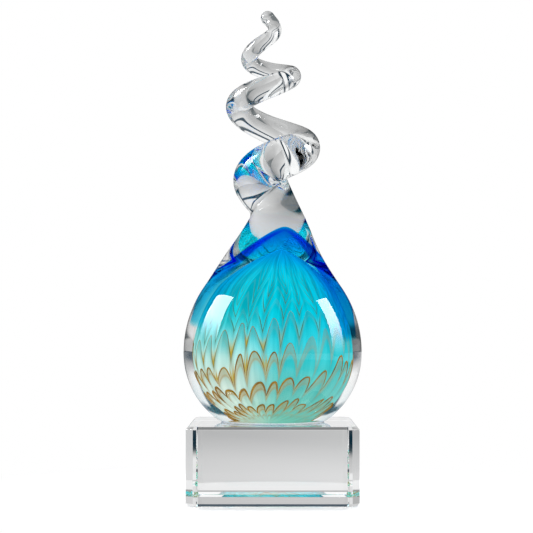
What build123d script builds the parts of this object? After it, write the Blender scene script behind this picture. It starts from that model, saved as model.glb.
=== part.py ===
"""Glass teardrop ornament with a coloured heart and a coiled tail, bonded to a cut crystal block.

Millimetres, +Z up, origin under the middle of the block. Each layer of glass is a solid of its own and
meets its neighbours face to face. Nothing moves: the glass is fused and the foot is bonded.
"""
from build123d import *
import math
import os

os.makedirs("parts", exist_ok=True)

# Crystal block
BASE_WIDTH = 90.0
BASE_DEPTH = 90.0
BASE_HEIGHT = 41.0
CORNER_CUT = 3.7  # leg of the four upright corner facets
EDGE_CUT = 1.5  # leg of the facets round the top and the bottom face

# Clear adhesive between the block and the ground foot
BOND_THICKNESS = 0.2
BOND_INSET = 0.6  # the adhesive stops this far inside the foot

# Outer teardrop, heights above its ground foot
FOOT_RADIUS = 28.5
BODY_RADIUS = 48.5
BODY_EQUATOR = 37.5
SHOULDER_SWEEP = 63.0  # radius of the arc above the equator
SHOULDER_ANGLE = 34.5  # slope at which that arc gives way to the hollow neck, degrees from upright
NECK_SWEEP = 340.0  # radius of the hollow arc along the neck
TIP_ROUND = 3.8
LEAN_START = 84.0
LEAN_END = 116.0
LEAN = 2.9  # sideways drift of the tip between the two heights above
CURVE_STEPS = 14  # points along each curved part of a profile

# Heart of the teardrop, heights above the foot on its own axis, before it is tilted
HEART_TILT = 3.8  # degrees, top towards +X
HEART_RADIUS = 29.1
HEART_EQUATOR = 36.3
HEART_DEPTH = 24.8  # from the equator down to the rounded underside
HEART_TOP = 88.5
HEART_POWERS = (1.8, 0.80)  # shape of the outline above the equator
OVERLAY_THICKNESS = 1.2  # aqua glass over the opal

# Bell of blue glass over the heart, with clear glass between
VEIL_TILT = 5.5  # degrees, top towards +X
VEIL_SHIFT = -0.9  # along X at the height of the heart's equator
VEIL_RADIUS = 31.4
VEIL_EQUATOR = 33.0
VEIL_TOP = 104.2
VEIL_POWERS = (2.0, 0.95)
VEIL_EDGE = 45.0  # lower edge of the blue
VEIL_THICKNESS = 0.5  # at the edge
VEIL_CROWN = 2.5  # at the top

# Coiled tail
TAIL_FOOT = 96.0  # height above the foot at which the rod starts, inside the neck
TAIL_RISE = 125.2  # from there to the middle of the rod's rounded end
COIL_REACH = 16.0  # widest distance from the coil's own axis to the middle of the rod
COIL_DRIFT = 3.6  # furthest that the coil's axis wanders along X
ROD_RADIUS = 11.6  # thickest place of the drawn rod
# One row for each station along the rod, as shares of the lengths above
# station, half turns, drift, reach, rise, rod radius
TAIL_ROWS = [
    (0.05, 0.500, 0.69, 0.250, 0.000, 1.15),
    (0.24, 0.500, 0.69, 0.330, 0.068, 1.06),
    (0.40, 0.523, 0.67, 0.440, 0.120, 1.00),
    (0.55, 0.600, 0.61, 0.565, 0.168, 0.98),
    (0.71, 0.722, 0.58, 0.652, 0.212, 0.98),
    (0.86, 0.867, 0.60, 0.708, 0.246, 0.99),
    (1.00, 1.000, 0.61, 0.750, 0.274, 1.00),
    (1.50, 1.50, 0.61, 0.85, 0.358, 0.98),
    (2.00, 2.00, 0.44, 0.90, 0.428, 0.86),
    (2.50, 2.50, -0.14, 0.96, 0.514, 0.67),
    (3.00, 3.00, -0.72, 1.00, 0.602, 0.60),
    (3.50, 3.50, -0.83, 0.93, 0.673, 0.54),
    (4.00, 4.00, -0.83, 0.82, 0.740, 0.47),
    (4.50, 4.50, -0.78, 0.74, 0.777, 0.43),
    (5.00, 5.00, -0.69, 0.64, 0.820, 0.38),
    (5.50, 5.50, -0.89, 0.50, 0.888, 0.34),
    (6.00, 6.00, -1.00, 0.28, 0.958, 0.31),
    (6.50, 6.50, -0.72, 0.19, 1.000, 0.33),
]
SECTIONS_PER_ROW = 5

foot_height = BASE_HEIGHT + BOND_THICKNESS


def sweep_radius(inner_radius, outer_radius, rise):
    """Radius of an arc that is upright at the outer radius and reaches the inner one over the rise."""
    reach = outer_radius - inner_radius
    return (reach**2 + rise**2) / (2 * reach)


def arc_radius(outer_radius, sweep, offset):
    """Distance from the axis on such an arc, at an offset in height from its upright end."""
    return outer_radius - sweep + math.sqrt(sweep**2 - offset**2)


shoulder = math.radians(SHOULDER_ANGLE)
shoulder_height = BODY_EQUATOR + SHOULDER_SWEEP * math.sin(shoulder)
shoulder_radius = arc_radius(BODY_RADIUS, SHOULDER_SWEEP, shoulder_height - BODY_EQUATOR)
# Middle of the hollow arc along the neck, outside the teardrop
hollow_height = shoulder_height + NECK_SWEEP * math.sin(shoulder)
hollow_radius = shoulder_radius + NECK_SWEEP * math.cos(shoulder)


def body_outline(height):
    """Radius of the outer teardrop at a height above the foot."""
    if height <= BODY_EQUATOR:
        sweep = sweep_radius(FOOT_RADIUS, BODY_RADIUS, BODY_EQUATOR)
        return arc_radius(BODY_RADIUS, sweep, BODY_EQUATOR - height)
    if height <= shoulder_height:
        return arc_radius(BODY_RADIUS, SHOULDER_SWEEP, height - BODY_EQUATOR)
    return hollow_radius - math.sqrt(NECK_SWEEP**2 - (hollow_height - height) ** 2)


def body_lean(height):
    """Sideways drift of the outer teardrop's axis at a height above the foot."""
    share = min(1.0, max(0.0, (height - LEAN_START) / (LEAN_END - LEAN_START)))
    return LEAN * share * share * (3 - 2 * share)


def on_profile(radius, height):
    return Vector(radius, 0, height)


def spread(low, high):
    """Heights from low to high, evenly spaced."""
    return [low + (high - low) * step / CURVE_STEPS for step in range(CURVE_STEPS + 1)]


def spread_to_pole(equator, pole):
    """Heights from an equator to a rounded end, closer together towards the end."""
    quarter = math.pi / 2
    steps = range(CURVE_STEPS + 1)
    return [equator + (pole - equator) * math.sin(quarter * step / CURVE_STEPS) for step in steps]


def curve_through(outline, heights):
    """Curve of the profile along an outline."""
    return Spline(*[on_profile(outline(height), height) for height in heights])


def turned(edges):
    return revolve(make_face(edges), axis=Axis.Z)


def upper_outline(radius, equator, top, powers):
    """Outline of a drop above its equator."""

    def outline(height):
        share = min(1.0, max(0.0, (height - equator) / (top - equator)))
        return radius * (1 - share ** powers[0]) ** powers[1]

    return outline


def drop_solid(radius, equator, depth, top, powers):
    """Round drop with a rounded underside and a narrow top."""

    def lower_outline(height):
        share = min(1.0, max(0.0, (equator - height) / depth))
        return radius * math.sqrt(1 - share * share)

    foot = equator - depth
    return turned(
        [
            Line(on_profile(0, top), on_profile(0, foot)),
            curve_through(lower_outline, spread_to_pole(equator, foot)),
            curve_through(upper_outline(radius, equator, top, powers), spread_to_pole(equator, top)),
        ]
    )


def bell_solid(radius, equator, edge, top, powers):
    """What lies above an edge of such a drop, with a flat underside."""
    outline = upper_outline(radius, equator, top, powers)
    return turned(
        [
            Line(on_profile(0, top), on_profile(0, edge)),
            Line(on_profile(0, edge), on_profile(outline(edge), edge)),
            curve_through(outline, spread_to_pole(edge, top)),
        ]
    )


def tail_value(station, column):
    """Smooth value of one column of the tail's rows, between the rows."""
    stations = [row[0] for row in TAIL_ROWS]
    values = [row[column] for row in TAIL_ROWS]
    last = len(stations) - 1
    index = 0
    while index < last - 1 and station > stations[index + 1]:
        index += 1

    def slope(row):
        before = max(row - 1, 0)
        after = min(row + 1, last)
        return (values[after] - values[before]) / (stations[after] - stations[before])

    span = stations[index + 1] - stations[index]
    share = (station - stations[index]) / span
    rise = share * share * (3 - 2 * share)
    leave = share * (1 - share) ** 2
    arrive = share * share * (share - 1)
    blend = values[index] + (values[index + 1] - values[index]) * rise
    return blend + span * (leave * slope(index) + arrive * slope(index + 1))


def rod_radius(station):
    return ROD_RADIUS * tail_value(station, 5)


def tail_point(station):
    angle = math.pi * tail_value(station, 1)
    reach = COIL_REACH * tail_value(station, 3)
    across = COIL_DRIFT * tail_value(station, 2) + reach * math.cos(angle)
    return Vector(across, reach * math.sin(angle), TAIL_FOOT + TAIL_RISE * tail_value(station, 4))


def tail_plane(station):
    """Plane square to the rod, with its X axis steady along the coil's radius."""
    step = 0.01
    along = (tail_point(station + step) - tail_point(station - step)).normalized()
    angle = math.pi * tail_value(station, 1)
    outward = Vector(math.cos(angle), math.sin(angle), 0)
    return Plane(origin=tail_point(station), x_dir=outward - along * outward.dot(along), z_dir=along)


def tail_span(start, end):
    """Length of rod between two stations, no more than half a half turn apart."""
    stops = [start + (end - start) * step / SECTIONS_PER_ROW for step in range(SECTIONS_PER_ROW + 1)]
    return loft([tail_plane(stop) * Circle(rod_radius(stop)) for stop in stops])


# Cut crystal block: upright corners first, then the facets round both flat faces
block = Pos(0, 0, BASE_HEIGHT / 2) * Box(BASE_WIDTH, BASE_DEPTH, BASE_HEIGHT)
block = chamfer(block.edges().filter_by(Axis.Z), CORNER_CUT)
rims = block.faces().sort_by(Axis.Z)[0].edges() + block.faces().sort_by(Axis.Z)[-1].edges()
crystal_base = chamfer(rims, EDGE_CUT)

# Adhesive film between the block and the foot
bond_film = Pos(0, 0, BASE_HEIGHT + BOND_THICKNESS / 2) * Cylinder(FOOT_RADIUS - BOND_INSET, BOND_THICKNESS)

# Heart: opal core under aqua glass, tilted about the middle of the equator
tilted = Pos(0, 0, HEART_EQUATOR) * Rot(0, HEART_TILT, 0) * Pos(0, 0, -HEART_EQUATOR)
heart = tilted * drop_solid(HEART_RADIUS, HEART_EQUATOR, HEART_DEPTH, HEART_TOP, HEART_POWERS)
opal_core = tilted * drop_solid(
    HEART_RADIUS - OVERLAY_THICKNESS,
    HEART_EQUATOR,
    HEART_DEPTH - OVERLAY_THICKNESS,
    HEART_TOP - 2 * OVERLAY_THICKNESS,
    HEART_POWERS,
)
aqua_overlay = heart - opal_core

# Blue veil over a clear gather, both open round the heart below
leaned = Pos(VEIL_SHIFT, 0, HEART_EQUATOR) * Rot(0, VEIL_TILT, 0) * Pos(0, 0, -HEART_EQUATOR)
veil_cap = leaned * bell_solid(VEIL_RADIUS, VEIL_EQUATOR, VEIL_EDGE, VEIL_TOP, VEIL_POWERS)
gather_cap = leaned * bell_solid(
    VEIL_RADIUS - VEIL_THICKNESS, VEIL_EQUATOR, VEIL_EDGE, VEIL_TOP - VEIL_CROWN, VEIL_POWERS
)
inner_gather = gather_cap - heart
cobalt_veil = veil_cap - gather_cap - heart
heart_layers = heart + veil_cap

# Outer teardrop: turned body, leaning neck, rounded tip
body = turned(
    [
        Line(on_profile(0, LEAN_START), on_profile(0, 0)),
        Line(on_profile(0, 0), on_profile(FOOT_RADIUS, 0)),
        curve_through(body_outline, spread(0, BODY_EQUATOR)),
        curve_through(body_outline, spread(BODY_EQUATOR, LEAN_START)),
        Line(on_profile(body_outline(LEAN_START), LEAN_START), on_profile(0, LEAN_START)),
    ]
)
tip_slope = math.acos(hollow_radius / (NECK_SWEEP + TIP_ROUND))
tip_height = hollow_height - NECK_SWEEP * math.sin(tip_slope)
rings = []
for height in spread(LEAN_START, tip_height):
    rings.append(Pos(body_lean(height), 0, height) * Circle(body_outline(height)))
neck = loft(rings)
tip_radius = TIP_ROUND * math.cos(tip_slope)
cap_rise = TIP_ROUND * (1 - math.sin(tip_slope))
half_way = (tip_slope + math.pi / 2) / 2
cap = turned(
    [
        Line(on_profile(0, cap_rise), on_profile(0, 0)),
        Line(on_profile(0, 0), on_profile(tip_radius, 0)),
        ThreePointArc(
            on_profile(tip_radius, 0),
            on_profile(TIP_ROUND * math.cos(half_way), TIP_ROUND * (math.sin(half_way) - math.sin(tip_slope))),
            on_profile(0, cap_rise),
        ),
    ]
)
teardrop = body + neck + Pos(body_lean(tip_height), 0, tip_height) * cap

# Coiled tail: a tapering rod that starts inside the neck and ends rounded
end = TAIL_ROWS[-1][0]
rod = Pos(tail_point(end)) * Sphere(rod_radius(end))
for row, next_row in zip(TAIL_ROWS, TAIL_ROWS[1:]):
    rod += tail_span(row[0], next_row[0])
twist_tail = rod - teardrop

# Every layer set on the block
to_foot = Pos(0, 0, foot_height)
nodes = {
    "crystal_base": crystal_base,
    "bond_film": bond_film,
    "opal_core": to_foot * opal_core,
    "aqua_overlay": to_foot * aqua_overlay,
    "inner_gather": to_foot * inner_gather,
    "cobalt_veil": to_foot * cobalt_veil,
    "clear_casing": to_foot * (teardrop - heart_layers),
    "twist_tail": to_foot * twist_tail,
}
for name, shape in nodes.items():
    export_step(shape, f"parts/{name}.step")
    box = shape.bounding_box()
    print(name, len(shape.solids()), "solid", round(shape.volume / 1000, 2), "cm3", box.min, box.max)
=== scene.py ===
# %% [markdown]
# # A glass teardrop with a coiled tail, on a cut crystal block
#
# The real piece is studio glass. A turquoise heart with feathered amber trails lies inside a blue veil,
# clear glass is gathered over both, the top is drawn into a tapering coil, and the ground foot is bonded
# to a block of crystal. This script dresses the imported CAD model: it loads the solids, remakes the glass
# with fine meshes that refract smoothly, and gives every layer its finish. All lengths below are written
# in millimetres and turned into metres where a mesh is made.

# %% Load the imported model
import math

import bmesh
import bpy
import numpy as np
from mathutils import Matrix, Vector
from mathutils.kdtree import KDTree


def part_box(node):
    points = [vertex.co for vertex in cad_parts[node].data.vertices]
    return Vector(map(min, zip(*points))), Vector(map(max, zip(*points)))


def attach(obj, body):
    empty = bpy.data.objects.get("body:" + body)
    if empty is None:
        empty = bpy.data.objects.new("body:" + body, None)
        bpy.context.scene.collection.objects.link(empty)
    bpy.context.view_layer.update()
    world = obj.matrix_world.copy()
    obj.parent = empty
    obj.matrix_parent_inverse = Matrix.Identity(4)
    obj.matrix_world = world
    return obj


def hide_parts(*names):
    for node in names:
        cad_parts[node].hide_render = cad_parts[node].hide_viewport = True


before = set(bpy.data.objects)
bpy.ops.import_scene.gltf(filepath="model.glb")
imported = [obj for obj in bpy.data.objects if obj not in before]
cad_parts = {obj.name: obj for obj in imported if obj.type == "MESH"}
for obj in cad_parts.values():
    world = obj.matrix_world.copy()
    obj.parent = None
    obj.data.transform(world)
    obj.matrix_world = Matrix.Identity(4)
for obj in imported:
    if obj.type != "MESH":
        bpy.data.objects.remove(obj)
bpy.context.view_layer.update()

MM = 0.001
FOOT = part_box("clear_casing")[0][2] / MM
print("nodes:", ", ".join(sorted(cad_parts)))
print("the ground foot stands", round(FOOT, 2), "mm above the floor")

# %% [markdown]
# ## The camera
#
# The lens and the place come from the photograph: the edges of the block's top run together at the height
# of the eye, and the block's front face gives the distance. The camera is turned a little instead of
# shifted, so it can be carried round the object for other views.

# %% Camera
FRAME_SIZE = 533  # pixels along each side of the picture
FOCAL_PIXELS = 1588
AXIS_COLUMN = 272.6  # picture column of the teardrop's axis
EYE_ROW = 320.0  # picture row at the height of the eye
EYE_DISTANCE = 866.2
EYE_HEIGHT = 96.2


def plain_object(name, data):
    """Object at the origin, in the scene."""
    piece = bpy.data.objects.new(name, data)
    bpy.context.scene.collection.objects.link(piece)
    return piece


camera_data = bpy.data.cameras.new("camera")
camera = plain_object("camera", camera_data)
bpy.context.scene.camera = camera
camera_data.sensor_width = 36
camera_data.lens = camera_data.sensor_width * FOCAL_PIXELS / FRAME_SIZE
camera.location = (0, -EYE_DISTANCE * MM, EYE_HEIGHT * MM)
tilt_up = math.atan((EYE_ROW - FRAME_SIZE / 2) / FOCAL_PIXELS)
turn_left = math.atan((AXIS_COLUMN - FRAME_SIZE / 2) / FOCAL_PIXELS)
camera.rotation_euler = (math.pi / 2 + tilt_up, 0, turn_left)
print("lens", round(camera_data.lens, 1), "mm")

# %% [markdown]
# ## Building shaders by hand
#
# Every finish is a small node tree. These helpers add a node, set its inputs and link it, so that the
# cells below read like the recipe they are. A value that comes out of a node knows its tree. A value that
# is the same all over goes straight on the shader's socket.

# %% Shader helpers


def new_finish(name, constants=()):
    """Material, its node tree and its Principled shader, with constants on the shader's own sockets."""
    finish = bpy.data.materials.new(name)
    finish.use_nodes = True
    tree = finish.node_tree
    shader = tree.nodes["Principled BSDF"]
    for socket, value in dict(constants).items():
        shader.inputs[socket].default_value = value
    return finish, tree, shader


def add(tree, kind, **settings):
    node = tree.nodes.new(kind)
    for name, value in settings.items():
        setattr(node, name, value)
    return node


def feed(socket, value):
    """Links a socket, or sets it when the value is a plain number or colour."""
    if isinstance(value, bpy.types.NodeSocket):
        socket.id_data.links.new(value, socket)
    else:
        socket.default_value = value


def made_from(kind, inputs, **settings):
    """Node with these inputs, in the tree that they belong to."""
    tree = next(value.id_data for value in inputs.values() if isinstance(value, bpy.types.NodeSocket))
    node = add(tree, kind, **settings)
    for name, value in inputs.items():
        feed(node.inputs[name], value)
    return node


def sums(operation, *values):
    """Math node on one to three values."""
    return made_from("ShaderNodeMath", dict(enumerate(values)), operation=operation).outputs[0]


def times(product, *others):
    """Product of two values or more."""
    for other in others:
        product = sums("MULTIPLY", product, other)
    return product


def step(value, low, high, start=0.0, end=1.0, kind="SMOOTHSTEP"):
    """Step of a value between two edges, smooth unless another kind is asked for."""
    inputs = {"Value": value, "From Min": low, "From Max": high, "To Min": start, "To Max": end}
    return made_from("ShaderNodeMapRange", inputs, interpolation_type=kind).outputs["Result"]


def blend(factor, first, second):
    """Mix of two colours."""
    inputs = {"Factor": factor, "A": first, "B": second}
    return made_from("ShaderNodeMix", inputs, data_type="RGBA").outputs["Result"]


def ramp(value, stops):
    """Colour ramp through stops of (place, colour)."""
    node = made_from("ShaderNodeValToRGB", {"Fac": value})
    elements = node.color_ramp.elements
    while len(elements) > 1:
        elements.remove(elements[-1])
    elements[0].position = stops[0][0]
    elements[0].color = stops[0][1]
    for place, colour in stops[1:]:
        elements.new(place).color = colour
    return node.outputs["Color"]


def srgb(red, green, blue):
    """Linear colour from the 0 to 255 values of a paint swatch."""
    channels = []
    for value in (red, green, blue):
        share = value / 255
        channels.append(share / 12.92 if share <= 0.04045 else ((share + 0.055) / 1.055) ** 2.4)
    return (*channels, 1.0)


def grey(value):
    return (value, value, value, 1.0)


def tones(value, *stops):
    """Ramp of greys through stops of (place, tone)."""
    return ramp(value, [(place, grey(tone)) for place, tone in stops])


def parts(vector):
    """X, Y and Z of a vector."""
    return tuple(made_from("ShaderNodeSeparateXYZ", {"Vector": vector}).outputs)


def own_place(tree):
    """Place in the object's own coordinates."""
    return add(tree, "ShaderNodeTexCoord").outputs["Object"]


def noise(place, scale, detail=2.0):
    inputs = {"Vector": place, "Scale": scale, "Detail": detail}
    return made_from("ShaderNodeTexNoise", inputs).outputs["Fac"]


# %% [markdown]
# ## Clear glass
#
# Hot-worked glass is never quite even, so a faint long ripple disturbs its surface. The adhesive between
# the foot and the block has nearly the index of glass, so light passes the joint straight: the two faces
# that meet there get a finish whose index is 1.

# %% Clear glass finishes


def clear_glass(name, tint, index, ripple_scale=0.0, ripple_depth=0.0):
    """Clear finish, with a ripple whose depth is in millimetres."""
    constants = {"Base Color": tint, "Roughness": 0.0, "IOR": index, "Transmission Weight": 1.0}
    finish, tree, shader = new_finish(name, constants)
    if ripple_depth:
        ripple = noise(own_place(tree), ripple_scale, 1.0)
        inputs = {"Strength": 1.0, "Distance": ripple_depth * MM, "Height": ripple}
        feed(shader.inputs["Normal"], made_from("ShaderNodeBump", inputs).outputs["Normal"])
    return finish


casing_finish = clear_glass("clear_casing_glass", (0.985, 0.995, 0.995, 1), 1.5, 55.0, 0.06)
crystal_finish = clear_glass("cut_crystal", (0.99, 0.996, 1.0, 1), 1.52, 30.0, 0.01)
bond_finish = clear_glass("clear_bond", (1, 1, 1, 1), 1.0)
print("finishes:", casing_finish.name, crystal_finish.name, bond_finish.name)

# %% [markdown]
# ## Outline of the teardrop and path of the coil
#
# Both follow rules, the same ones as the solids: arcs for the outline, a gentle lean of the neck, and a
# coil whose reach, height and thickness change from station to station. Everything else is measured
# against these functions.

# %% Rules of the outer form
FOOT_RADIUS = 28.5
BODY_RADIUS = 48.5
BODY_EQUATOR = 37.5
SHOULDER_SWEEP = 63.0
SHOULDER_ANGLE = math.radians(34.5)
NECK_SWEEP = 340.0
TIP_ROUND = 3.8
LEAN_START = 84.0
LEAN_END = 116.0
LEAN = 2.9

foot_sweep = ((BODY_RADIUS - FOOT_RADIUS) ** 2 + BODY_EQUATOR**2) / (2 * (BODY_RADIUS - FOOT_RADIUS))
shoulder_height = BODY_EQUATOR + SHOULDER_SWEEP * math.sin(SHOULDER_ANGLE)
shoulder_radius = BODY_RADIUS - SHOULDER_SWEEP * (1 - math.cos(SHOULDER_ANGLE))
hollow_height = shoulder_height + NECK_SWEEP * math.sin(SHOULDER_ANGLE)
hollow_radius = shoulder_radius + NECK_SWEEP * math.cos(SHOULDER_ANGLE)
tip_slope = math.acos(hollow_radius / (NECK_SWEEP + TIP_ROUND))
tip_height = hollow_height - NECK_SWEEP * math.sin(tip_slope)
tip_middle = tip_height - TIP_ROUND * math.sin(tip_slope)


def body_outline(height):
    """Radius of the teardrop at heights above the foot."""
    below = BODY_RADIUS - foot_sweep + np.sqrt(np.maximum(0, foot_sweep**2 - (BODY_EQUATOR - height) ** 2))
    rise = np.maximum(0, SHOULDER_SWEEP**2 - (height - BODY_EQUATOR) ** 2)
    above = BODY_RADIUS - SHOULDER_SWEEP + np.sqrt(rise)
    neck = hollow_radius - np.sqrt(np.maximum(0, NECK_SWEEP**2 - (hollow_height - height) ** 2))
    tip = np.sqrt(np.maximum(0, TIP_ROUND**2 - (height - tip_middle) ** 2))
    upper = np.where(height < shoulder_height, above, np.where(height < tip_height, neck, tip))
    return np.where(height < BODY_EQUATOR, below, upper)


def body_lean(height):
    share = np.clip((height - LEAN_START) / (LEAN_END - LEAN_START), 0, 1)
    return LEAN * share * share * (3 - 2 * share)


TAIL_FOOT = 96.0
TAIL_RISE = 125.2
COIL_REACH = 16.0
COIL_DRIFT = 3.6
ROD_RADIUS = 11.6
# station, half turns, drift, reach, rise, rod radius
TAIL_ROWS = np.array([
    (0.05, 0.500, 0.69, 0.250, 0.000, 1.15),
    (0.24, 0.500, 0.69, 0.330, 0.068, 1.06),
    (0.40, 0.523, 0.67, 0.440, 0.120, 1.00),
    (0.55, 0.600, 0.61, 0.565, 0.168, 0.98),
    (0.71, 0.722, 0.58, 0.652, 0.212, 0.98),
    (0.86, 0.867, 0.60, 0.708, 0.246, 0.99),
    (1.00, 1.000, 0.61, 0.750, 0.274, 1.00),
    (1.50, 1.50, 0.61, 0.85, 0.358, 0.98),
    (2.00, 2.00, 0.44, 0.90, 0.428, 0.86),
    (2.50, 2.50, -0.14, 0.96, 0.514, 0.67),
    (3.00, 3.00, -0.72, 1.00, 0.602, 0.60),
    (3.50, 3.50, -0.83, 0.93, 0.673, 0.54),
    (4.00, 4.00, -0.83, 0.82, 0.740, 0.47),
    (4.50, 4.50, -0.78, 0.74, 0.777, 0.43),
    (5.00, 5.00, -0.69, 0.64, 0.820, 0.38),
    (5.50, 5.50, -0.89, 0.50, 0.888, 0.34),
    (6.00, 6.00, -1.00, 0.28, 0.958, 0.31),
    (6.50, 6.50, -0.72, 0.19, 1.000, 0.33),
])


def tail_columns(stations):
    """Every column of the tail's rows, eased smoothly between the rows."""
    at = TAIL_ROWS[:, 0]
    slopes = np.gradient(TAIL_ROWS, axis=0) / np.gradient(at)[:, None]
    slopes[1:-1] = (TAIL_ROWS[2:] - TAIL_ROWS[:-2]) / (at[2:] - at[:-2])[:, None]
    index = np.clip(np.searchsorted(at, stations) - 1, 0, len(at) - 2)
    span = (at[index + 1] - at[index])[:, None]
    share = (stations - at[index])[:, None] / span
    start, end = TAIL_ROWS[index], TAIL_ROWS[index + 1]
    eased = start + (end - start) * share**2 * (3 - 2 * share)
    return eased + span * share * (1 - share) * ((1 - share) * slopes[index] - share * slopes[index + 1])


def tail_path(count):
    """Middle line of the rod above the foot, and its radius."""
    columns = tail_columns(np.linspace(TAIL_ROWS[0, 0], TAIL_ROWS[-1, 0], count))
    angle = math.pi * columns[:, 1]
    reach = COIL_REACH * columns[:, 3]
    across = COIL_DRIFT * columns[:, 2] + reach * np.cos(angle)
    height = TAIL_FOOT + TAIL_RISE * columns[:, 4]
    return np.stack([across, reach * np.sin(angle), height], axis=1), ROD_RADIUS * columns[:, 5]


print("tip", round(float(tip_height), 1), "mm above the foot")

# %% [markdown]
# ## A tree that draws glass along a path
#
# One Geometry Nodes tree draws all the round glass, the teardrop, the coil and the amber trails: it turns a
# row of points into a curve, reads how thick the glass is at each point, and sweeps a circle along it.

# %% Drawn glass tree


def drawn_glass_tree():
    tree = bpy.data.node_groups.new("drawn_glass", "GeometryNodeTree")
    sockets = {}
    for name, kind in (("Path", "Geometry"), ("Sides", "Int"), ("Finish", "Material")):
        socket = tree.interface.new_socket(name, in_out="INPUT", socket_type="NodeSocket" + kind)
        sockets[name] = socket.identifier
    tree.interface.new_socket("Glass", in_out="OUTPUT", socket_type="NodeSocketGeometry")
    start = add(tree, "NodeGroupInput")
    line = add(tree, "GeometryNodeMeshToCurve")
    thickness = add(tree, "GeometryNodeInputNamedAttribute", data_type="FLOAT")
    thickness.inputs["Name"].default_value = "thickness"
    circle = add(tree, "GeometryNodeCurvePrimitiveCircle")
    circle.inputs["Radius"].default_value = 1.0
    sweep = add(tree, "GeometryNodeCurveToMesh")
    sweep.inputs["Fill Caps"].default_value = True
    smooth = add(tree, "GeometryNodeSetShadeSmooth")
    real = add(tree, "GeometryNodeRealizeInstances")
    finish = add(tree, "GeometryNodeSetMaterial")
    end = add(tree, "NodeGroupOutput")
    link = tree.links.new
    link(start.outputs["Path"], line.inputs["Mesh"])
    link(start.outputs["Sides"], circle.inputs["Resolution"])
    link(line.outputs["Curve"], sweep.inputs["Curve"])
    link(circle.outputs["Curve"], sweep.inputs["Profile Curve"])
    link(thickness.outputs["Attribute"], sweep.inputs["Scale"])
    link(sweep.outputs["Mesh"], smooth.inputs["Geometry"])
    link(smooth.outputs["Geometry"], real.inputs["Geometry"])
    link(real.outputs["Geometry"], finish.inputs["Geometry"])
    link(start.outputs["Finish"], finish.inputs["Material"])
    link(finish.outputs["Geometry"], end.inputs["Glass"])
    return tree, sockets


glass_tree, glass_sockets = drawn_glass_tree()


def frozen(piece):
    """The object's mesh with every modifier worked in."""
    graph = bpy.context.evaluated_depsgraph_get()
    return bpy.data.meshes.new_from_object(piece.evaluated_get(graph))


def drawn(name, lines, sides, finish):
    """Glass drawn along lines of (points, radii) in millimetres."""
    points = np.concatenate([line[0] for line in lines]) * MM
    radii = np.concatenate([line[1] for line in lines]) * MM
    edges, first = [], 0
    for line, _ in lines:
        edges += [(number, number + 1) for number in range(first, first + len(line) - 1)]
        first += len(line)
    path = bpy.data.meshes.new(name + "_path")
    path.from_pydata(points.tolist(), edges, [])
    thickness = path.attributes.new("thickness", "FLOAT", "POINT")
    thickness.data.foreach_set("value", radii.astype(np.float32))
    piece = plain_object(name, path)
    nodes = piece.modifiers.new("drawn", "NODES")
    nodes.node_group = glass_tree
    nodes[glass_sockets["Sides"]] = sides
    nodes[glass_sockets["Finish"]] = finish
    mesh = frozen(piece)
    piece.modifiers.clear()
    piece.data = mesh
    mesh.name = name
    bpy.data.meshes.remove(path)
    return piece


def with_round_end(points, radii, steps=10):
    """Adds a half ball to the end of a path."""
    along = points[-1] - points[-2]
    along = along / np.linalg.norm(along)
    turn = np.linspace(0, math.pi / 2, steps + 2)[1:-1, None]
    ball = points[-1] + along * radii[-1] * np.sin(turn)
    return np.concatenate([points, ball]), np.concatenate([radii, radii[-1] * np.cos(turn[:, 0])])


# %% [markdown]
# ## The clear glass: teardrop and coil in one
#
# The casing and the tail are one gather of glass, so light must not meet a wall between them. The teardrop
# is drawn along its upright axis and then leaned, the rod is drawn along the coil, and the two are joined.
# Then the seam is melted: each point near it moves to the smooth blend of the two forms, and the shading
# normals are taken from that blend, so no crease is left.

# %% Teardrop and rod
BODY_SIDES = 160
BODY_RINGS = 230
ROD_SIDES = 64
ROD_STEPS = 420
EDGE_ROUND = 0.8  # ground edge of the foot
EDGE_TURN = math.pi / 2.6  # how far that edge turns before the wall begins
HAIR_GAP = 0.02  # keeps the faces at the bonded joint from falling together, where light would be caught

edge_turn = np.linspace(0, EDGE_TURN, 6)
edge_heights = HAIR_GAP + EDGE_ROUND * (1 - np.cos(edge_turn))
edge_radii = FOOT_RADIUS - EDGE_ROUND + EDGE_ROUND * np.sin(edge_turn)
wall_heights = np.linspace(edge_heights[-1] + 0.5, tip_height, BODY_RINGS)
tip_turn = np.linspace(tip_slope, math.pi / 2, 10)[1:-1]
tip_heights = tip_middle + TIP_ROUND * np.sin(tip_turn)
heights = np.concatenate([edge_heights, wall_heights, tip_heights])
radii = np.concatenate([edge_radii, body_outline(wall_heights), TIP_ROUND * np.cos(tip_turn)])
axis = np.stack([np.zeros_like(heights), np.zeros_like(heights), heights + FOOT], axis=1)
teardrop = drawn("clear_glass", [(axis, radii)], BODY_SIDES, casing_finish)


def mesh_vectors(mesh, kind):
    values = np.empty(len(mesh.vertices) * 3)
    mesh.vertices.foreach_get(kind, values)
    return values.reshape(-1, 3)


def put_points(mesh, points):
    mesh.vertices.foreach_set("co", (points * MM).ravel())
    mesh.update()


leaned = mesh_vectors(teardrop.data, "co") / MM
leaned[:, 0] += body_lean(leaned[:, 2] - FOOT)
put_points(teardrop.data, leaned)

rod_line, rod_thickness = tail_path(ROD_STEPS)
round_line, round_thickness = with_round_end(rod_line, rod_thickness)
rod = drawn("rod", [(round_line + (0, 0, FOOT), round_thickness)], ROD_SIDES, casing_finish)
print("teardrop", len(teardrop.data.polygons), "faces, rod", len(rod.data.polygons), "faces")

# %% Join and melt the seam
MELT = ((104.0, 122.0), (9.0, 2.5))  # heights, and the width over which the two forms flow together there
SEAM_TOP = TAIL_FOOT + 0.45 * TAIL_RISE
FINE_STEPS = 4000

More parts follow.
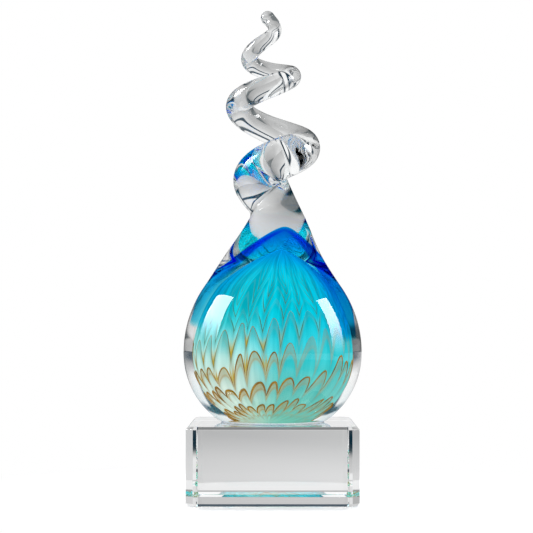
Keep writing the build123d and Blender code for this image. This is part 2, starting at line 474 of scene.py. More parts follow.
union = teardrop.modifiers.new("join", "BOOLEAN")
union.object = rod
union.operation = "UNION"
union.solver = "EXACT"
joined = frozen(teardrop)
teardrop.modifiers.clear()
teardrop.data = joined
bpy.data.objects.remove(rod)

fine_line, fine_thickness = tail_path(FINE_STEPS)
fine_tangent = np.gradient(fine_line, axis=0)
fine_step = np.linalg.norm(fine_tangent, axis=1)
fine_tangent /= fine_step[:, None]
fine_taper = np.gradient(fine_thickness) / fine_step
near_line = KDTree(len(fine_line))
for number, place in enumerate(fine_line):
    near_line.insert(place, number)
near_line.balance()


def from_body(points):
    """Distance outside the teardrop, and its direction."""
    height = points[:, 2]
    offset = points[:, :2] - np.stack([body_lean(height), np.zeros(len(height))], axis=1)
    reach = np.maximum(np.linalg.norm(offset, axis=1), 1e-9)
    under_tip = np.minimum(height, tip_height)
    slope = (body_outline(under_tip + 0.01) - body_outline(under_tip - 0.01)) / 0.02
    slant = np.sqrt(1 + slope**2)
    distance = (reach - body_outline(under_tip)) / slant
    away = np.column_stack([offset / reach[:, None], -slope]) / slant[:, None]
    tip = points - (LEAN, 0, tip_middle)
    tip_reach = np.maximum(np.linalg.norm(tip, axis=1), 1e-9)
    over = height > tip_height
    distance = np.where(over, tip_reach - TIP_ROUND, distance)
    return distance, np.where(over[:, None], tip / tip_reach[:, None], away)


def from_rod(points):
    """Distance outside the rod, and its direction."""
    index = np.array([near_line.find(point)[1] for point in points])
    offset = points - fine_line[index]
    along = np.sum(offset * fine_tangent[index], axis=1) * (index > 0)
    offset -= fine_tangent[index] * along[:, None]
    reach = np.maximum(np.linalg.norm(offset, axis=1), 1e-9)
    away = offset / reach[:, None] - fine_tangent[index] * fine_taper[index][:, None]
    return reach - fine_thickness[index], away / np.linalg.norm(away, axis=1)[:, None]


def melted(points):
    """Distance outside the smooth blend of both forms, and its direction."""
    body, body_away = from_body(points)
    rod_distance, rod_away = from_rod(points)
    width = np.interp(points[:, 2], *MELT)
    share = np.clip(0.5 + 0.5 * (rod_distance - body) / width, 0, 1)
    distance = rod_distance + (body - rod_distance) * share - width * share * (1 - share)
    away = rod_away + (body_away - rod_away) * share[:, None]
    return distance, away / np.linalg.norm(away, axis=1)[:, None]


points = mesh_vectors(joined, "co") / MM - (0, 0, FOOT)
seam = (points[:, 2] > LEAN_START) & (points[:, 2] < SEAM_TOP)
moved = points[seam]
for _ in range(4):
    distance, away = melted(moved)
    moved = moved - away * distance[:, None]
points[seam] = moved
put_points(joined, points + (0, 0, FOOT))

normals = mesh_vectors(joined, "normal")
normals[seam] = melted(moved)[1]
joined.shade_smooth()
joined.normals_split_custom_set_from_vertices(normals)

joined.materials.clear()
joined.materials.append(casing_finish)
joined.materials.append(bond_finish)
for face in joined.polygons:
    if face.center.z / MM < FOOT + HAIR_GAP + 0.01:
        face.material_index = 1
        face.use_smooth = False
clear = teardrop
print("clear glass", len(joined.polygons), "faces,", int(seam.sum()), "points melted")

# %% [markdown]
# ## The heart and its feathered trails
#
# The heart was blown into a ribbed mould with a thread wound round it, so each turn of the thread hangs in
# scallops, and the whole pattern was pulled up on one side. The mesh is laid out in the pattern's own
# coordinates: columns round the heart and rows of thread up it. The same two numbers go into the UV map
# for the shader and place the amber threads, so colour and threads agree wherever the pull takes them.

# %% Rules of the heart
HEART_TILT = math.radians(3.8)
HEART_RADIUS = 29.1
HEART_EQUATOR = 36.3
HEART_DEPTH = 24.8
HEART_TOP = 88.5
HEART_POWERS = (1.8, 0.80)


def upper_outline(share, radius, powers):
    """Radius of a drop at shares of the way from its equator to its top."""
    return radius * (1 - share ** powers[0]) ** powers[1]


def heart_profile(points=300):
    """Outline of the heart from the middle of its underside to its top, and the length along it."""
    turn = np.linspace(0, math.pi / 2, points)
    share = np.sin(turn)[1:]
    radius = np.concatenate([HEART_RADIUS * np.sin(turn), upper_outline(share, HEART_RADIUS, HEART_POWERS)])
    low = HEART_EQUATOR - HEART_DEPTH * np.cos(turn)
    height = np.concatenate([low, HEART_EQUATOR + (HEART_TOP - HEART_EQUATOR) * share])
    length = np.concatenate([[0], np.cumsum(np.hypot(np.diff(radius), np.diff(height)))])
    return radius, height, length


profile_radius, profile_height, profile_length = heart_profile()
heart_span = profile_length[-1]
print("the heart's outline is", round(float(heart_span), 1), "mm long")


def leaned_over(points, tilt, shift=0.0):
    """Points on an upright axis, tilted towards +X about the heart's equator and set on the foot."""
    rise = points[..., 2] - HEART_EQUATOR
    across = points[..., 0] * math.cos(tilt) + rise * math.sin(tilt) + shift
    up = rise * math.cos(tilt) - points[..., 0] * math.sin(tilt)
    return np.stack([across, points[..., 1], up + HEART_EQUATOR + FOOT], axis=-1)


# %% Pattern coordinates
COLUMNS = 21
ROWS = 10
FIRST_COLUMN = math.radians(90)  # the pattern's first column lies at the back
STRETCH = 0.71  # below 1, the rows crowd together towards the top
PULL = ((0, 1, 2, 3, 10), (0.10, 0.12, 0.17, 0.21, 0.15))  # how far each row is pulled up on one side
PULL_SIDE = ((0, 2, 4, 10), (40, 25, -40, -40))  # side of the heart that each row is pulled up on, degrees
# Hand work is never even: waves round the heart, turn with each row, start, and size in columns or rows
SWAY = ((4, 1.3, 0.0, 0.13), (9, -0.8, 1.0, 0.09))
HEAVE = ((5, 2.1, 0.5, 0.09), (8, 1.1, 2.0, 0.08))


def waver(column, row, waves):
    turn = 2 * math.pi * column / COLUMNS
    return sum(size * np.sin(count * turn + rate * row + start) for count, rate, start, size in waves)


def heart_point(column, row):
    """Point on the heart for pattern coordinates."""
    fade = np.clip(row, 0, 1) * np.clip(ROWS - row, 0, 1)
    angle = FIRST_COLUMN + 2 * math.pi * (column + fade * waver(column, row, SWAY)) / COLUMNS
    level = np.clip(row + fade * waver(column, row, HEAVE), 0, ROWS)
    side = np.radians(np.interp(level, *PULL_SIDE))
    power = STRETCH - np.interp(level, *PULL) * np.cos(angle - side)
    place = heart_span * np.clip(level / ROWS, 1e-9, 1) ** power
    radius = np.interp(place, profile_length, profile_radius)
    height = np.interp(place, profile_length, profile_height)
    upright = np.stack([radius * np.cos(angle), radius * np.sin(angle), height], axis=-1)
    return leaned_over(upright, HEART_TILT)


# %% Heart mesh
ROW_STEPS = 16
COLUMN_STEPS = 8


def closed_faces(levels, sides):
    """Faces over levels of points round an axis, which close in one more point below and one above."""
    bottom, top = levels * sides, levels * sides + 1
    last = bottom - sides
    faces = []
    for side in range(sides):
        after = (side + 1) % sides
        faces.append((bottom, after, side))
        for low in range(0, last, sides):
            faces.append((low + side, low + after, low + sides + after, low + sides + side))
        faces.append((last + side, last + after, top))
    return faces


def smooth_mesh(name, points, faces):
    """Smoothly shaded mesh from points in millimetres."""
    mesh = bpy.data.meshes.new(name)
    mesh.from_pydata((points * MM).tolist(), [], faces)
    mesh.shade_smooth()
    return mesh


ring = COLUMNS * COLUMN_STEPS
columns = np.arange(ring) / COLUMN_STEPS
rows = np.linspace(0, ROWS, ROWS * ROW_STEPS + 1)
bands = heart_point(columns[None, :], rows[1:-1, None] + 0 * columns[None, :]).reshape(-1, 3)
poles = heart_point(np.zeros(2), np.array([0.0, ROWS]))
heart_mesh = smooth_mesh("aqua_heart", np.concatenate([bands, poles]), closed_faces(len(rows) - 2, ring))

# The UV map follows the faces: a triangle at the bottom, the rows of quads, a triangle at the top
face_uvs = []
for side in range(ring):
    here, there = side / COLUMN_STEPS, (side + 1) / COLUMN_STEPS
    face_uvs += [(here, rows[0]), (there, rows[1]), (here, rows[1])]
    for below, above in zip(rows[1:-2], rows[2:-1]):
        face_uvs += [(here, below), (there, below), (there, above), (here, above)]
    face_uvs += [(here, rows[-2]), (there, rows[-2]), (here, rows[-1])]
pattern = heart_mesh.uv_layers.new(name="pattern")
pattern.data.foreach_set("uv", np.array(face_uvs, dtype=np.float32).ravel())
heart = plain_object("aqua_heart", heart_mesh)
print("heart", len(heart_mesh.polygons), "faces")

# %% [markdown]
# ## Scallops
#
# In each column a thread climbs from one cusp to a rounded crest and drops steeply to the next cusp. Low
# on the heart the crest leans to one side; further up it stands in the middle, and the scallops hang
# deeper until they are long feathers. The rule is written twice, once for the points of the trails and
# once as shader nodes, from the same numbers.

# %% Scallop rule
CREST = ((1.5, 4.0), (0.76, 0.45))  # rows, and the crest's place across its column at each
HANG = ((0.0, 3.0, 7.0), (0.34, 0.90, 2.3))  # rows, and how deep the scallops hang at each, in rows
ROUNDNESS = ((2.0, 5.0), (2.6, 1.3))  # rows, and how round the crest is at each


def hang_of(column, row):
    """How far a thread hangs below its crest, from 0 at the crest to 1 at the cusps."""
    crest = np.interp(row, *CREST)
    across = column % 1.0
    side = np.maximum((crest - across) / crest, (across - crest) / (1 - crest))
    return np.clip(side, 0, 1) ** np.interp(row, *ROUNDNESS)


def thread_rows(number, column):
    """Rows along one thread, found by settling the rule that the shader uses."""
    row = np.full_like(column, float(number))
    for _ in range(40):
        wanted = number - np.interp(row, *HANG) * hang_of(column, row)
        row = row + 0.5 * (wanted - row)
    return row


# %% [markdown]
# ## Colours of the heart
#
# Near the foot the ground is a milky mint, in the middle aqua, and at the top a deep turquoise with flutes
# that run together. Inside each scallop the amber of the thread has bled downwards, a beige band with a
# soft inner line. Higher up only the hanging parts of the threads show, as olive lines, and yellow glass
# has pooled in some cusps. The layers inside the clear glass share its index, so nothing glints there and
# the finish has no gloss of its own.

# %% Heart finish
MATTE = {"Roughness": 1.0, "Specular IOR Level": 0.0}
heart_finish, tree, shader = new_finish("aqua_over_opal", MATTE)
column, row, _ = parts(add(tree, "ShaderNodeUVMap", uv_map="pattern").outputs["UV"])


def along_rows(row, rule):
    """Value that follows a two-row rule, steady outside those rows."""
    (first_row, last_row), (first, last) = rule
    return step(row, first_row, last_row, first, last, kind="LINEAR")


crest = along_rows(row, CREST)
across = sums("FRACT", column)
climb = sums("DIVIDE", sums("SUBTRACT", crest, across), crest)
drop = sums("DIVIDE", sums("SUBTRACT", across, crest), sums("SUBTRACT", 1.0, crest))
hang = sums("POWER", sums("MAXIMUM", climb, drop), along_rows(row, ROUNDNESS))
(low_row, middle_row, high_row), (low_hang, middle_hang, high_hang) = HANG
low_depth = along_rows(row, ((low_row, middle_row), (low_hang, middle_hang)))
more_depth = along_rows(row, ((middle_row, high_row), (0.0, high_hang - middle_hang)))
thread = sums("MULTIPLY_ADD", sums("ADD", low_depth, more_depth), hang, row)
up_scallop = sums("FRACT", thread)

# Streaks run up the columns and close on themselves round the heart
STREAKS_ROUND = 11.0
STREAKS_UP = 0.22
turn = times(column, 2 * math.pi / COLUMNS)
streak_place = {
    "X": times(sums("COSINE", turn), STREAKS_ROUND),
    "Y": times(sums("SINE", turn), STREAKS_ROUND),
    "Z": times(row, STREAKS_UP),
}
streaks = noise(made_from("ShaderNodeCombineXYZ", streak_place).outputs["Vector"], 1.0, 3.0)
streak = step(streaks, 0.36, 0.64)

# The colour deepens with height: from yellowish mint on the left, from aqua on the side that was pulled up
spot_x, _, spot_z = parts(own_place(tree))
heart_foot = (FOOT + HEART_EQUATOR - HEART_DEPTH) * MM
heart_height = (HEART_TOP - HEART_EQUATOR + HEART_DEPTH) * MM
height = sums("DIVIDE", sums("SUBTRACT", spot_z, heart_foot), heart_height)
left_colour = ramp(height, [
    (0.00, srgb(206, 222, 200)), (0.20, srgb(192, 224, 210)), (0.30, srgb(168, 224, 214)),
    (0.38, srgb(112, 214, 210)), (0.50, srgb(38, 202, 206)), (0.65, srgb(2, 194, 206)),
    (0.80, srgb(0, 198, 214)), (1.00, srgb(0, 190, 212)),
])
right_colour = ramp(height, [
    (0.00, srgb(100, 190, 170)), (0.20, srgb(58, 198, 194)), (0.30, srgb(24, 202, 208)),
    (0.40, srgb(6, 200, 212)), (0.50, srgb(2, 196, 212)), (0.62, srgb(2, 198, 216)),
    (0.80, srgb(0, 204, 220)), (1.00, srgb(0, 200, 220)),
])
pulled = step(spot_x, -0.022, 0.005)
colour = blend(pulled, left_colour, right_colour)
deep = blend(step(height, 0.25, 0.6, 0.26, 0.46), colour, srgb(0, 92, 104))
milk = step(height, 0.28, 0.60, 0.34, 0.004)
milk = times(milk, sums("MULTIPLY_ADD", pulled, -0.85, 1.0))
pale = blend(milk, colour, srgb(244, 252, 246))
feathers = step(row, 3.5, 5.5)
low_fill = step(up_scallop, 0.15, 0.85, 1.0, 0.0)
low_fill = sums("MULTIPLY_ADD", low_fill, 0.6, times(streak, 0.4))
ground = blend(blend(feathers, low_fill, streak), deep, pale)


def away_from(value, place):
    """Distance of a value from a place, either way."""
    return sums("ABSOLUTE", sums("SUBTRACT", value, place))


# Amber that bled down from each thread, weaker up the heart and on the side that was pulled
strength = times(
    step(spot_x, -0.006, 0.016, 1.0, 0.5),
    step(row, 2.2, 4.0, 1.0, 0.08),
    step(thread, 0.6, 1.2, 0.85, 1.0),
)
bleed = times(step(up_scallop, 0.50, 0.95, 0.0, 0.6), strength)
stained = blend(bleed, ground, srgb(190, 152, 62))
near_foot = step(thread, 0.8, 1.3, 0.6, 0.0)
for place, share in ((0.74, 0.5), (0.42, near_foot)):
    inner_line = step(away_from(up_scallop, place), 0.01, 0.08, 1.0, 0.0)
    stained = blend(times(inner_line, share, strength), stained, srgb(166, 124, 22))

# Higher up only the hanging part of each thread shows, as an olive line
upper_line = times(
    step(away_from(up_scallop, 0.95), 0.02, 0.16, 1.0, 0.0),
    step(hang, 0.15, 0.6),
    step(row, 2.5, 3.4, 0.0, 0.9),
    step(row, 5.0, 9.0, 1.0, 0.25),
)
lined = blend(upper_line, stained, srgb(70, 104, 44))

# Yellow glass has pooled in the cusps of the third thread, most of it on the left
pooled = times(
    step(hang, 0.40, 0.65),
    step(up_scallop, 0.25, 0.65, 1.0, 0.0),
    step(away_from(row, 2.9), 0.3, 0.8, 0.95, 0.0),
    step(spot_x, -0.01, 0.012, 1.0, 0.15),
)
feed(shader.inputs["Base Color"], blend(pooled, lined, srgb(180, 152, 0)))
heart_mesh.materials.append(heart_finish)
print("heart finish", len(tree.nodes), "nodes")

# %% [markdown]
# ## Amber trails
#
# The threads themselves are thin trails of amber glass, half sunk in the heart. The tree that drew the
# coil draws them too. They are thickest at the crests and thin out towards the cusps and up the heart.

# %% Trails
THREAD_SHARES = (1.0, 1.0, 0.6, 0.25)  # thickness of each thread, from the lowest up
TRAIL_RADIUS = 0.56
TRAIL_STEPS = 18  # points in each column
TRAIL_SIDES = 6
FINE_FOOT = ((FOOT + 12, FOOT + 20), (0.55, 1.0))  # heights, and the share of the thickness there
FINE_SIDE = (-4, 18)  # across this range the trails thin out towards the side that was pulled

trail_finish, tree, shader = new_finish("amber_trail", MATTE)
tint = step(noise(own_place(tree), 160.0), 0.35, 0.65)
feed(shader.inputs["Base Color"], blend(tint, srgb(128, 92, 4), srgb(164, 124, 20)))
trail_lines = []
trail_columns = np.linspace(0, COLUMNS, COLUMNS * TRAIL_STEPS + 1)
for number, share in enumerate(THREAD_SHARES, start=1):
    thread_row = thread_rows(number, trail_columns)
    path = heart_point(trail_columns, thread_row)
    fewest = 0.6 if number < 3 else 0.0
    thinning = share * np.interp(path[:, 2], *FINE_FOOT) * np.interp(path[:, 0], FINE_SIDE, (1.0, fewest))
    trail_lines.append((path, TRAIL_RADIUS * thinning * (1 - 0.6 * hang_of(trail_columns, thread_row))))
trails = drawn("amber_trails", trail_lines, TRAIL_SIDES, trail_finish)
print("trails", len(THREAD_SHARES), "threads,", len(trails.data.polygons), "faces")

# %% [markdown]
# ## Blue veil
#
# Over the heart lies a bell of cobalt glass: thin in front and at the back, where the heart shows through,
# thick on its flanks and its crown, with a thin skin that goes on down the flanks. It is a real shell with
# an absorbing inside, so it looks deepest blue where the sight line runs along the glass.

# %% Veil
VEIL_TILT = math.radians(5.5)
VEIL_SHIFT = -0.9
VEIL_RADIUS = 31.4
VEIL_EQUATOR = 33.0
VEIL_TOP = 104.2
VEIL_POWERS = (2.0, 0.95)
VEIL_EDGE = 45.0
VEIL_THICKNESS = (0.15, 3.5)  # in front and at the back, and on the flanks
VEIL_CROWN = 2.5
VEIL_FEATHER = 37.0  # height over which the edge thins out
VEIL_DRIP = 1.5  # the blue reaches lower on the right by this much, and stops higher on the left
VEIL_SKIN = (0.40, 0.55)  # thin blue that goes on down the flanks, left and right
SKIN_ENDS = (3.0, 20.0)  # heights over which the skin sets in at the edge, and fades out at the top
VEIL_BULGE = 2.2  # how far the flanks stand out low down
BULGE_HEIGHT = 36.0
VEIL_TIP = 2.4  # rounding of the tip
TIP_REACH = 45.0  # height over which the rounding fades out
CROWN_START = 80.0  # height from which the glass thickens towards the top
VEIL_STEPS = 110
VEIL_SIDES = 128

edge_share = (VEIL_EDGE - VEIL_EQUATOR) / (VEIL_TOP - VEIL_EQUATOR)
share = np.sin(np.linspace(math.asin(edge_share), math.pi / 2, VEIL_STEPS))[:, None]
turn = np.linspace(0, 2 * math.pi, VEIL_SIDES, endpoint=False)[None, :]
outer_height = VEIL_EQUATOR + (VEIL_TOP - VEIL_EQUATOR) * share
below_tip = VEIL_TOP - outer_height
lift = below_tip + VEIL_TIP - np.hypot(VEIL_TIP, below_tip)
outer_height = outer_height + (lift - 0.6 * VEIL_TIP) * np.clip(1 - below_tip / TIP_REACH, 0, 1)
bulge = np.sin(math.pi * np.clip((outer_height - VEIL_EDGE - 1) / BULGE_HEIGHT, 0, 1)) ** 2
outer_radius = upper_outline(share, VEIL_RADIUS, VEIL_POWERS) + VEIL_BULGE * bulge * np.cos(turn) ** 2
slant = np.arctan2(np.gradient(outer_height, axis=0), -np.gradient(outer_radius, axis=0))
thin, thick = VEIL_THICKNESS
flank = thin + (thick - thin) * np.cos(turn) ** 18 * (0.85 + 0.15 * np.cos(turn))
reach_down = VEIL_DRIP * np.cos(turn)
feather = np.clip((outer_height - VEIL_EDGE + reach_down) / VEIL_FEATHER, 0.01, 1) ** 1.7
left_skin, right_skin = VEIL_SKIN
skin = (left_skin + (right_skin - left_skin) * (0.5 + 0.5 * np.cos(turn))) * np.cos(turn) ** 10
skin = skin * np.clip((outer_height - VEIL_EDGE) / SKIN_ENDS[0], 0, 1)
skin = skin * np.clip((VEIL_TOP - outer_height) / SKIN_ENDS[1], 0, 1)
crown = np.clip((outer_height - CROWN_START) / (VEIL_TOP - CROWN_START), 0, 1)
depth = skin + feather * (flank + (VEIL_CROWN - flank) * crown)
inner_radius = np.maximum(outer_radius - depth * np.sin(slant), 0)
inner_height = outer_height - depth * np.cos(slant)

# The shell runs from the top of its inside down to the edge and up to the top of its outside
shell_radius = np.concatenate([inner_radius[::-1], outer_radius[1:]])
shell_height = np.concatenate([inner_height[::-1], (outer_height + 0 * turn)[1:]])
shell_radius[0] = 0
rounds = np.stack([shell_radius * np.cos(turn), shell_radius * np.sin(turn), shell_height], axis=-1)
poles = rounds[[0, -1]].mean(axis=1)
shell = leaned_over(np.concatenate([rounds[1:-1].reshape(-1, 3), poles]), VEIL_TILT, VEIL_SHIFT)
veil_mesh = smooth_mesh("blue_veil", shell, closed_faces(len(rounds) - 2, VEIL_SIDES))
veil = plain_object("blue_veil", veil_mesh)
veil_finish = clear_glass("cobalt_veil_glass", (1, 1, 1, 1), 1.0)
tree = veil_finish.node_tree
soak = add(tree, "ShaderNodeVolumeAbsorption")
soak.inputs["Color"].default_value = (0.0, 0.87, 0.998, 1)
soak.inputs["Density"].default_value = 2000.0
feed(tree.nodes["Material Output"].inputs["Volume"], soak.outputs["Volume"])
veil_mesh.materials.append(veil_finish)
print("veil", len(veil_mesh.polygons), "faces")

# %% [markdown]
# ## Crystal block
#
# The block is cut and polished: four upright corner facets, a narrow facet round each flat face, and edges
# so crisp that only a hair of rounding catches the light. Its top has a round patch where the foot is
# bonded, which light passes straight.

# %% Block
CORNER_CUT = 3.7
EDGE_CUT = 1.5
HAIR = 0.12  # rounding of the polished edges
BOND_RADIUS = FOOT_RADIUS - EDGE_ROUND
PATCH_SIDES = 96

low, high = (Vector(corner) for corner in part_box("crystal_base"))
work = bmesh.new()
bmesh.ops.create_cube(work, size=1.0)
for vertex in work.verts:
    vertex.co = (low + high) / 2 + vertex.co * (high - low)


def rise(edge):
    return abs(edge.verts[0].co.z - edge.verts[1].co.z)


def bevel(edges, size, segments=1):
    bmesh.ops.bevel(work, geom=edges, offset=size * MM, segments=segments, affect="EDGES",
                    offset_type="OFFSET", profile=0.5)


bevel([edge for edge in work.edges if rise(edge) > 10 * MM], CORNER_CUT)
bevel([edge for edge in work.edges if rise(edge) < 0.01 * MM], EDGE_CUT)
bevel(list(work.edges), HAIR, segments=2)
lid = max(work.faces, key=lambda face: face.calc_center_median().z * 1000 + face.calc_area())
rim_edges = list(lid.edges)
bmesh.ops.delete(work, geom=[lid], context="FACES_ONLY")
patch_height = high.z - HAIR_GAP * MM
circle = []
for number in range(PATCH_SIDES):
    turn = 2 * math.pi * number / PATCH_SIDES
    across, along = BOND_RADIUS * MM * math.cos(turn), BOND_RADIUS * MM * math.sin(turn)
    circle.append(work.verts.new((across, along, patch_height)))
patch = work.faces.new(circle)
bmesh.ops.triangle_fill(work, edges=rim_edges + list(patch.edges), use_beauty=True, use_dissolve=False)
bmesh.ops.recalc_face_normals(work, faces=list(work.faces))
block_mesh = bpy.data.meshes.new("crystal_block")
work.to_mesh(block_mesh)
work.free()
block_mesh.materials.append(crystal_finish)
block_mesh.materials.append(bond_finish)
for face in block_mesh.polygons:
    reach = max(block_mesh.vertices[number].co.xy.length for number in face.vertices)
    inside = reach < (BOND_RADIUS + 0.01) * MM
    face.material_index = int(inside and face.center.z > high.z - 2 * HAIR_GAP * MM)
block = plain_object("crystal_block", block_mesh)
print("block", len(block_mesh.polygons), "faces")

# %% [markdown]
# ## Hidden layers
#
# The opal core and the film of adhesive keep their solids: the core is covered by the aqua glass, and the
# film is a clear disc under the foot.

# %% Hidden layers
opal_finish, tree, shader = new_finish("opal", {"Roughness": 0.6})
clouds = noise(own_place(tree), 60.0)
feed(shader.inputs["Base Color"], blend(clouds, srgb(225, 238, 236), srgb(246, 248, 244)))
for node, finish in (("opal_core", opal_finish), ("bond_film", bond_finish)):
    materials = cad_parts[node].data.materials
    materials.clear()
    materials.append(finish)
print("finished:", "opal_core", "bond_film")

# %% [markdown]
# ## Floor, light and surroundings
#
# The photograph shows white all round, with a faint shadow under the block. The floor is white and keeps
# the shadow near the object. Clear glass has no colour to show but its surroundings, so what the glass
# sees is drawn with care: a table in soft greys, a wall with two dark bands, white boxes, and a little
# blue in the darkest tones. The light path tells what a ray is: a look through the glass, a mirror image,
# or light that has bounced off the heart, which is plain.

# %% Floor
FLOOR_HALF = 4.0  # metres, like all lengths in this cell
FLOOR_DROP = -0.0003
corners = [(x * FLOOR_HALF, y * FLOOR_HALF, FLOOR_DROP) for x, y in ((-1, -1), (1, -1), (1, 1), (-1, 1))]
floor_mesh = bpy.data.meshes.new("floor")
floor_mesh.from_pydata(corners, [], [(0, 1, 2, 3)])
floor = plain_object("floor", floor_mesh)


def seen_in_glass(tone, dark):
    """Colour of what clear glass shows: greys as they are, and the darkest tones tinted blue and teal,
    painted light that stands for the heart's colour.
    """
    return ramp(tone, [(0.0, srgb(2, 36, 52)), (0.12, dark), (0.4, grey(0.4)), (1.0, grey(1.0))])


floor_finish, tree, shader = new_finish("white_floor", {"Base Color": grey(0.9), "Roughness": 0.12})
paths = add(tree, "ShaderNodeLightPath").outputs
through = paths["Is Transmission Ray"]
bounced = sums("GREATER_THAN", paths["Diffuse Depth"], 0.5)
floor_x, floor_y, _ = parts(own_place(tree))
far = sums("SQRT", sums("ADD", times(floor_x, floor_x), times(floor_y, floor_y)))

# The table that the glass shows: light near the object, darker to the left, dark past both ends, and grey
# again further off
tone = step(floor_x, -0.35, 0.35, 0.34, 0.76, kind="LINEAR")
far_tone = times(tone, step(floor_y, 0.1, 0.6, 1.25, 0.95))
near_tone = blend(step(far, 0.114, 0.120, 1.0, 0.0), far_tone, grey(0.86))
left_end = step(floor_x, -0.32, -0.20, 0.03, 1.0)
beside = sums("MULTIPLY_ADD", floor_y, -0.7, floor_x)
right_end = step(beside, 0.18, 0.30, 1.0, 0.03)
further = step(far, 0.50, 0.65, 0.0, 0.7)
table = times(near_tone, sums("MAXIMUM", times(left_end, right_end), further))
shade = blend(paths["Is Camera Ray"], seen_in_glass(table, srgb(52, 72, 78)), grey(1.0))

# Through the glass the floor shows painted shade: dim under the block, and dark teal under the foot as if
# lit by the heart
painted_under_shade = blend(step(far, 0.030, 0.036), srgb(6, 70, 84), grey(0.40))
painted_shade_zone = times(step(far, 0.050, 0.058, 1.0, 0.0), through)
shade = blend(painted_shade_zone, shade, painted_under_shade)
# A painted shadow: a dark line round the block on the floor, seen only through the glass
outside = sums("MAXIMUM", sums("ABSOLUTE", floor_x), sums("ABSOLUTE", floor_y))
line = tones(times(outside, 10.0), (0.54, 0.0), (0.57, 0.8), (0.64, 0.8), (0.70, 0.0))
shade = blend(times(line, through), shade, srgb(64, 66, 68))

# Near the object the camera sees the floor with its shadow; everything else sees these tones
# To bounced light the floor glows like a lamp, brightest under the block: a painted pool of light that
# lights the heart from below
painted_bounce_glow = step(far, 0.05, 0.06, 2.1, 1.3)
backdrop = made_from("ShaderNodeEmission", {"Color": blend(bounced, shade, painted_bounce_glow)})
in_glass = sums("MAXIMUM", paths["Is Glossy Ray"], through)
away = step(far, 0.07, 0.20)
drawn_share = sums("MAXIMUM", away, sums("MAXIMUM", in_glass, bounced))
inputs = {"Fac": drawn_share, 1: shader.outputs["BSDF"], 2: backdrop.outputs["Emission"]}
mixed = made_from("ShaderNodeMixShader", inputs).outputs["Shader"]
feed(tree.nodes["Material Output"].inputs["Surface"], mixed)
floor_mesh.materials.append(floor_finish)
print("floor", 2 * FLOOR_HALF, "m wide")

# %% Surroundings
world = bpy.data.worlds.new("studio")
bpy.context.scene.world = world
world.use_nodes = True
tree = world.node_tree
background = tree.nodes["Background"]
to_right, to_back, upward = parts(add(tree, "ShaderNodeTexCoord").outputs["Generated"])
turned_by = sums("ABSOLUTE", sums("ARCTAN2", to_right, to_back))
bearing = sums("DIVIDE", turned_by, math.pi)  # 0 behind the object, 1 behind the viewer
paths = add(tree, "ShaderNodeLightPath").outputs
through = paths["Is Transmission Ray"]

# A grey wall stands behind the object, with two dark bands and darker to the left
wall = tones(bearing, (0.0, 1.0), (0.21, 0.9), (0.25, 0.03), (1.0, 0.03))
heights = tones(
    upward, (0.0, 0.52), (0.17, 0.60), (0.32, 0.76), (0.335, 0.06), (0.375, 0.06), (0.39, 0.82),
    (0.50, 0.78), (0.54, 0.05), (0.60, 0.05), (0.64, 0.9), (1.0, 0.9),
)
wall_tone = times(heights, step(to_right, -0.7, 0.5, 0.7, 1.15))

# White boxes at the sides fade out towards the floor, and more white lies overhead and round the viewer
boxes = tones(bearing, (0.26, 0.0), (0.28, 1.0), (0.425, 1.0), (0.435, 0.0), (1.0, 0.0))
bands = tones(upward, (0.0, 0.03), (0.04, 0.05), (0.22, 1.0), (0.52, 1.0), (0.58, 0.02))
above = step(upward, 0.62, 0.66, 0.0, 0.95)
viewer = tones(
    bearing, (0.49, 0.0), (0.52, 0.85), (0.63, 0.85), (0.65, 0.0), (0.69, 0.0), (0.72, 0.7), (1.0, 0.6)
)
around = sums("ADD", times(boxes, bands), sums("MAXIMUM", viewer, above))

# A look through the glass shows all of this, a mirror image only a low strip of the wall
mirrored = times(step(upward, 0.16, 0.26, 0.95, 0.0), step(bearing, 0.04, 0.07, 1.0, 0.0))
behind = blend(through, mirrored, wall_tone)
lit = sums("MULTIPLY_ADD", wall, behind, times(around, through))
# Through the glass the darkest tones get a painted blue, which stands for the heart's light
seen = blend(through, sums("MINIMUM", lit, 1.0), seen_in_glass(lit, srgb(24, 66, 88)))
studio = blend(paths["Is Camera Ray"], seen, grey(1.0))

# Light that has bounced is plain, and comes mostly from above when it has passed through glass
bounced = sums("GREATER_THAN", paths["Diffuse Depth"], 0.5)
inside = sums("GREATER_THAN", paths["Transmission Depth"], 0.5)
plain_light = blend(inside, grey(0.8), step(upward, -0.2, 0.9, 1.1, 2.6))
feed(background.inputs["Color"], blend(bounced, studio, plain_light))
background.inputs["Strength"].default_value = 1.0
print("surroundings", len(tree.nodes), "nodes")


# %% Lamps
def softbox(name, place, width, height, watts, target=(0, 0, 0.1)):
    """Flat lamp that lights the heart but is seen in no glass."""
    lamp = bpy.data.lights.new(name, "AREA")
    lamp.shape = "RECTANGLE"
    lamp.size, lamp.size_y, lamp.energy = width, height, watts
    holder = plain_object(name, lamp)
    holder.location = place
    holder.rotation_euler = (Vector(target) - Vector(place)).to_track_quat("-Z", "Y").to_euler()
    holder.visible_glossy = False
    holder.visible_transmission = False


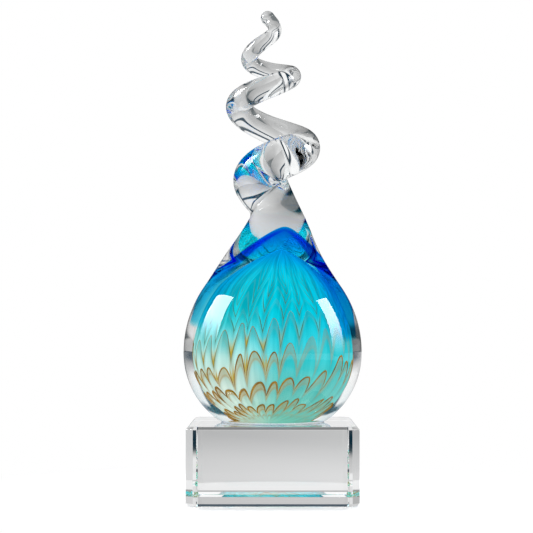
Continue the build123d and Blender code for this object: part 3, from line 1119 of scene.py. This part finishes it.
softbox("left_box", (-1.15, -0.1, 0.75), 0.8, 0.9, 13)
softbox("right_box", (1.15, -0.1, 0.75), 0.8, 0.9, 13)
softbox("top_box", (0, 0.1, 1.4), 1.2, 1.2, 14)
print("three soft lamps")

# %% [markdown]
# ## Window highlights
#
# Two tall panes beside the object give the long white highlights on its shoulders. They are only seen in
# mirror images, so they add no light to the colours. Each pane fades out towards its foot.

# %% Panes
PANE_DISTANCE = 1.15
PANE_GLOW = 13.0


def pane(name, side, near, far, foot, top):
    """Upright pane at one side: near and far are places along Y, foot and top heights, in metres."""
    mesh = bpy.data.meshes.new(name)
    across = side * PANE_DISTANCE
    corners = ((near, foot), (far, foot), (far, top[1]), (near, top[0]))
    mesh.from_pydata([(across, *corner) for corner in corners], [], [(0, 1, 2, 3)])
    finish, tree, _ = new_finish(name + "_glow")
    _, _, height = parts(own_place(tree))
    strength = step(height, foot, top[1] * 0.7, 0.0, PANE_GLOW)
    glow = made_from("ShaderNodeEmission", {"Strength": strength}).outputs["Emission"]
    feed(tree.nodes["Material Output"].inputs["Surface"], glow)
    mesh.materials.append(finish)
    piece = plain_object(name, mesh)
    piece.visible_camera = False
    piece.visible_diffuse = False
    piece.visible_transmission = False
    piece.visible_shadow = False
    return piece


panes = [
    pane("left_pane", -1, -0.30, 0.38, 0.2, (1.3, 0.98)),
    pane("right_pane", 1, -0.18, 0.24, 0.0, (1.1, 0.95)),
]
print("panes:", ", ".join(piece.name for piece in panes))

# %% [markdown]
# ## Hand over
#
# Each piece rides on the one body, and the solids that the pieces stand for are hidden.

# %% Hand over
for piece in (clear, heart, trails, veil, block):
    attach(piece, "root")
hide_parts("clear_casing", "twist_tail", "inner_gather")
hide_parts("aqua_overlay")
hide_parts("cobalt_veil")
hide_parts("crystal_base")

scene = bpy.context.scene
scene.view_settings.view_transform = "Standard"
scene.cycles.max_bounces = 64
scene.cycles.transmission_bounces = 64
scene.cycles.glossy_bounces = 48
scene.cycles.transparent_max_bounces = 32
